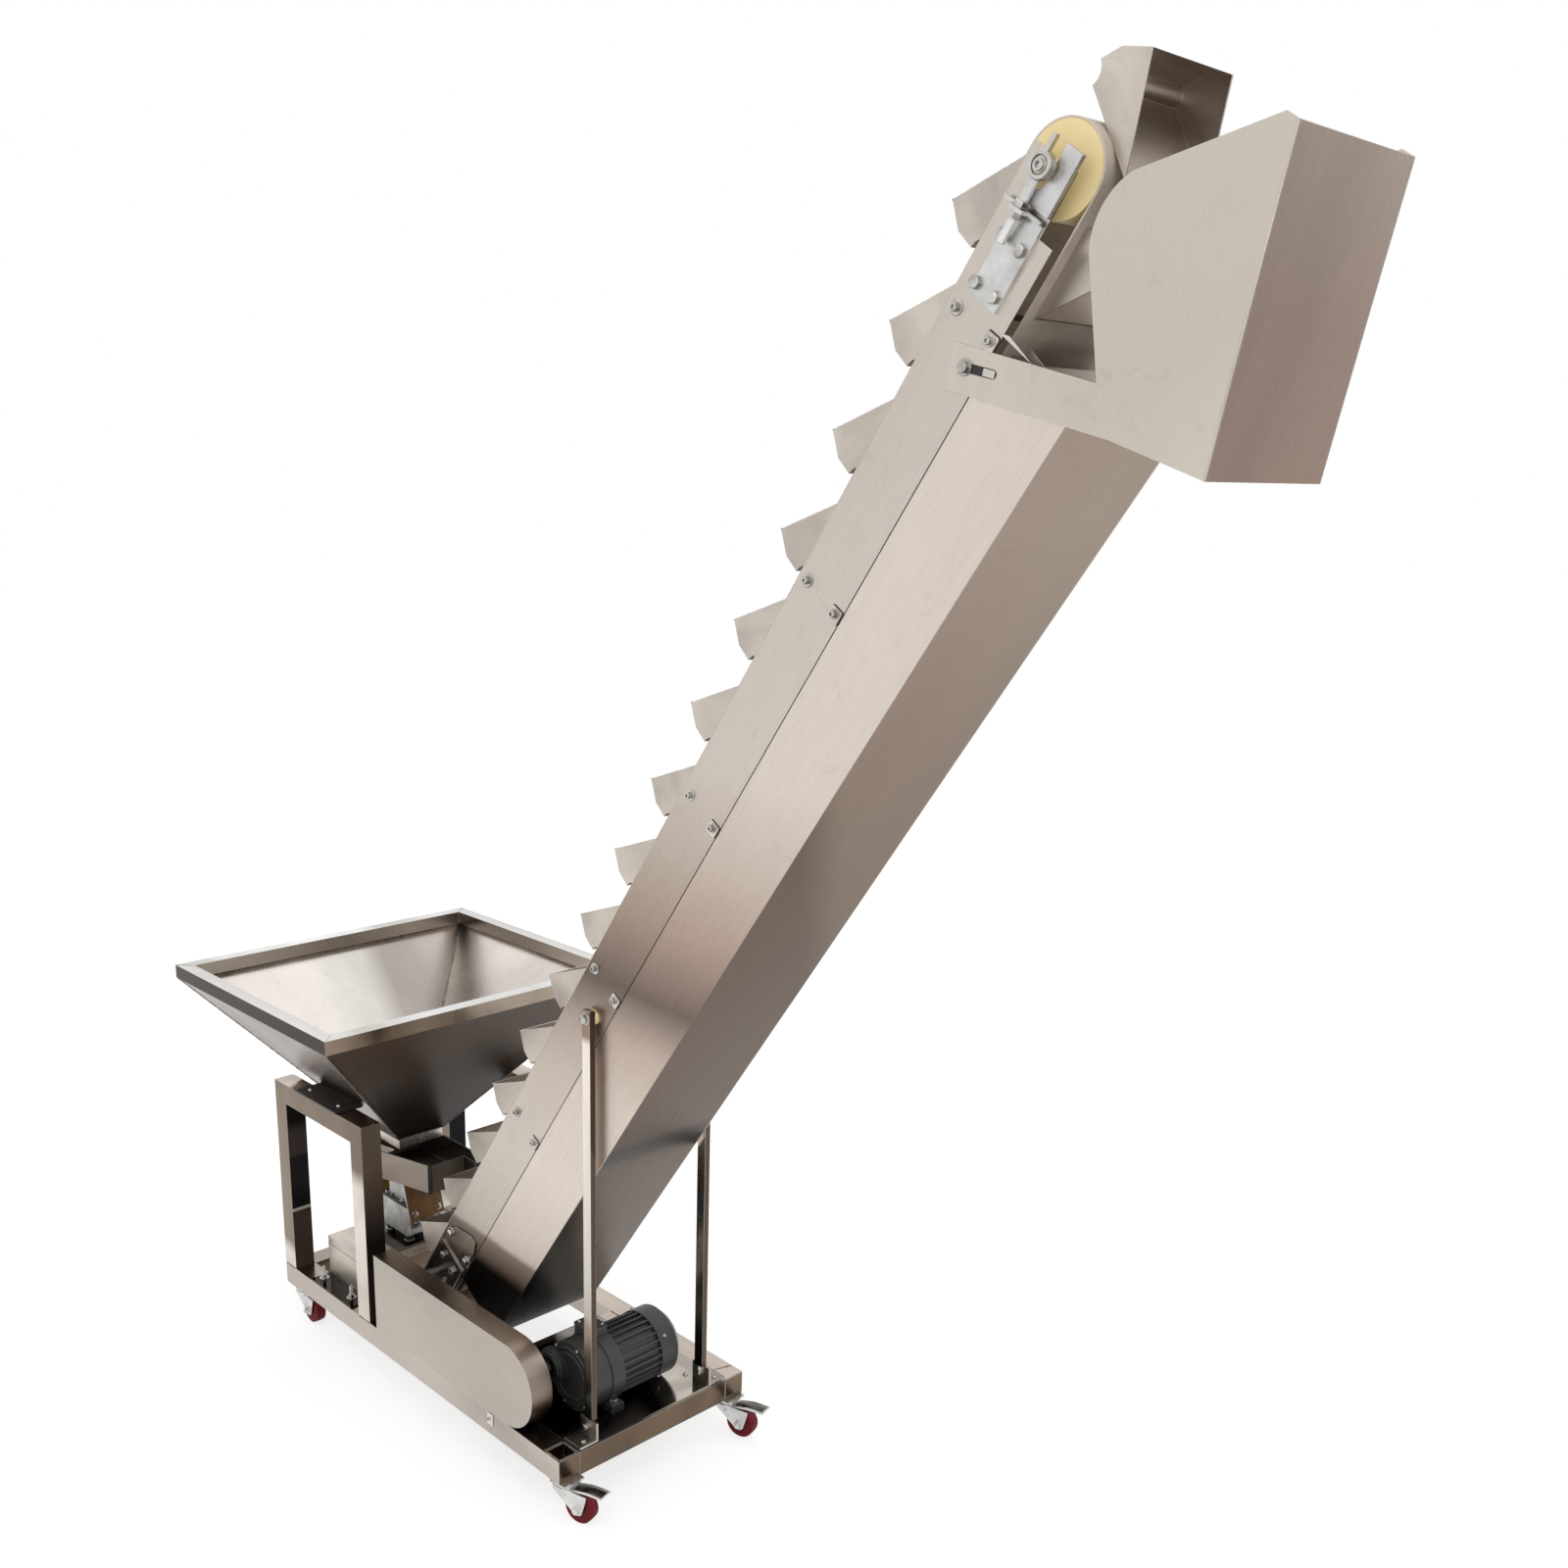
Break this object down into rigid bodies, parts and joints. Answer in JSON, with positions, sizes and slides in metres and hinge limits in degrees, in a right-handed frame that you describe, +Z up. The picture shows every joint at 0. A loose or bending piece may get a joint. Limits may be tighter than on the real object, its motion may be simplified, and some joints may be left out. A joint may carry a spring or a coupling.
{
  "type": "bucket elevator",
  "caption": "Mobile inclined bucket elevator: open buckets on a belt loop in a sheet steel casing, fed by a vibrating hopper and emptied through a hood, on a wheeled base.",
  "frame": {"origin": "middle of the whole machine's outline, on the floor", "axes": "+X towards the discharge hood, +Y towards the side without the chain guard, +Z up"},
  "size_m": [1.9056, 0.62, 1.9442],
  "materials": {
    "polished_steel": "bright polished stainless tube",
    "brushed_sheet": "brushed stainless sheet",
    "bucket_steel": "satin stainless sheet",
    "plain_steel": "turned steel",
    "dark_steel": "mirror sheet that reflects dark",
    "black_plate": "black plate",
    "galvanized": "zinc plated steel",
    "cast_grey": "grey cast block",
    "motor_grey": "dark grey paint, satin",
    "spring_resin": "orange brown laminate",
    "cream_nylon": "cream nylon",
    "belt_white": "off-white belt",
    "wheel_red": "dark red tread"
  },
  "bodies": {
    "frame": {"base_rails": "polished_steel", "base_cross_tubes": "polished_steel", "floor_plates": "polished_steel", "hopper_stands": "polished_steel", "stand_pads": "black_plate", "hopper_end_walls": "brushed_sheet", "hopper_side_walls": "brushed_sheet", "hopper_rim": "brushed_sheet", "hopper_collar": "brushed_sheet", "feeder_table": "dark_steel", "feeder_feet": "galvanized", "vibrator_body": "cast_grey", "leaf_springs": "spring_resin", "spring_clamps": "cast_grey", "feeder_tray": "brushed_sheet", "control_box": "brushed_sheet", "chain_guard": "brushed_sheet", "gearbox": "motor_grey", "motor_foot": "motor_grey", "motor_body": "motor_grey", "fan_cover": "motor_grey", "terminal_box": "motor_grey", "casing_plates": "brushed_sheet", "channel_sides": "brushed_sheet", "channel_floor": "brushed_sheet", "casing_ties": "plain_steel", "belt": "belt_white", "carry_buckets": "bucket_steel", "return_buckets": "bucket_steel", "turn_buckets": "bucket_steel", "takeup_plates": "galvanized", "takeup_sliders": "galvanized", "takeup_flanges": "galvanized", "takeup_screws": "galvanized", "foot_bearings": "galvanized", "hood_sides": "brushed_sheet", "hood_front": "brushed_sheet", "hood_back": "brushed_sheet", "hood_arms": "brushed_sheet", "posts": "polished_steel", "post_feet": "galvanized", "post_spacers": "cream_nylon", "caster_mounts": "galvanized"},
    "motor_shaft": {"motor_shaft": "plain_steel"},
    "head_pulley": {"head_pulley": "cream_nylon"},
    "drive_pulley": {"drive_pulley": "cream_nylon"},
    "caster_fork_hopper_near": {"caster_fork_hopper_near": "galvanized"},
    "caster_wheel_hopper_near": {"caster_wheel_hopper_near": "wheel_red"},
    "caster_fork_hopper_far": {"caster_fork_hopper_far": "galvanized"},
    "caster_wheel_hopper_far": {"caster_wheel_hopper_far": "wheel_red"},
    "caster_fork_motor_near": {"caster_fork_motor_near": "galvanized"},
    "caster_wheel_motor_near": {"caster_wheel_motor_near": "wheel_red"},
    "caster_fork_motor_far": {"caster_fork_motor_far": "galvanized"},
    "caster_wheel_motor_far": {"caster_wheel_motor_far": "wheel_red"}
  },
  "joints": [
    {"name": "drive_pulley_spin", "type": "hinge", "parent": "frame", "child": "drive_pulley", "pos_m": [-0.43072, 0, 0.21805], "axis": [0, 1, 0], "continuous": true},
    {"name": "head_pulley_spin", "type": "hinge", "parent": "frame", "child": "head_pulley", "pos_m": [0.7002, 0, 1.84202], "axis": [0, 1, 0], "continuous": true},
    {"name": "motor_shaft_spin", "type": "hinge", "parent": "frame", "child": "motor_shaft", "pos_m": [-0.11779, -0.12, 0.172], "axis": [0, 1, 0], "continuous": true},
    {"name": "swivel_hopper_near", "type": "hinge", "parent": "frame", "child": "caster_fork_hopper_near", "pos_m": [-0.7978, -0.172, 0.058], "axis": [0, 0, 1], "continuous": true},
    {"name": "roll_hopper_near", "type": "hinge", "parent": "caster_fork_hopper_near", "child": "caster_wheel_hopper_near", "pos_m": [-0.7678, -0.172, 0.025], "axis": [0, 1, 0], "continuous": true},
    {"name": "swivel_hopper_far", "type": "hinge", "parent": "frame", "child": "caster_fork_hopper_far", "pos_m": [-0.7978, 0.172, 0.058], "axis": [0, 0, 1], "continuous": true},
    {"name": "roll_hopper_far", "type": "hinge", "parent": "caster_fork_hopper_far", "child": "caster_wheel_hopper_far", "pos_m": [-0.7678, 0.172, 0.025], "axis": [0, 1, 0], "continuous": true},
    {"name": "swivel_motor_near", "type": "hinge", "parent": "frame", "child": "caster_fork_motor_near", "pos_m": [0.0092, -0.172, 0.058], "axis": [0, 0, 1], "continuous": true},
    {"name": "roll_motor_near", "type": "hinge", "parent": "caster_fork_motor_near", "child": "caster_wheel_motor_near", "pos_m": [0.03818, -0.16423, 0.025], "axis": [-0.2588, 0.9659, 0], "continuous": true},
    {"name": "swivel_motor_far", "type": "hinge", "parent": "frame", "child": "caster_fork_motor_far", "pos_m": [0.0092, 0.172, 0.058], "axis": [0, 0, 1], "continuous": true},
    {"name": "roll_motor_far", "type": "hinge", "parent": "caster_fork_motor_far", "child": "caster_wheel_motor_far", "pos_m": [0.03818, 0.17977, 0.025], "axis": [-0.2588, 0.9659, 0], "continuous": true}
  ],
  "couplings": [
    {"joint": "head_pulley_spin", "follows": "drive_pulley_spin", "ratio": 1},
    {"joint": "motor_shaft_spin", "follows": "drive_pulley_spin", "ratio": 0.58823}
  ]
}
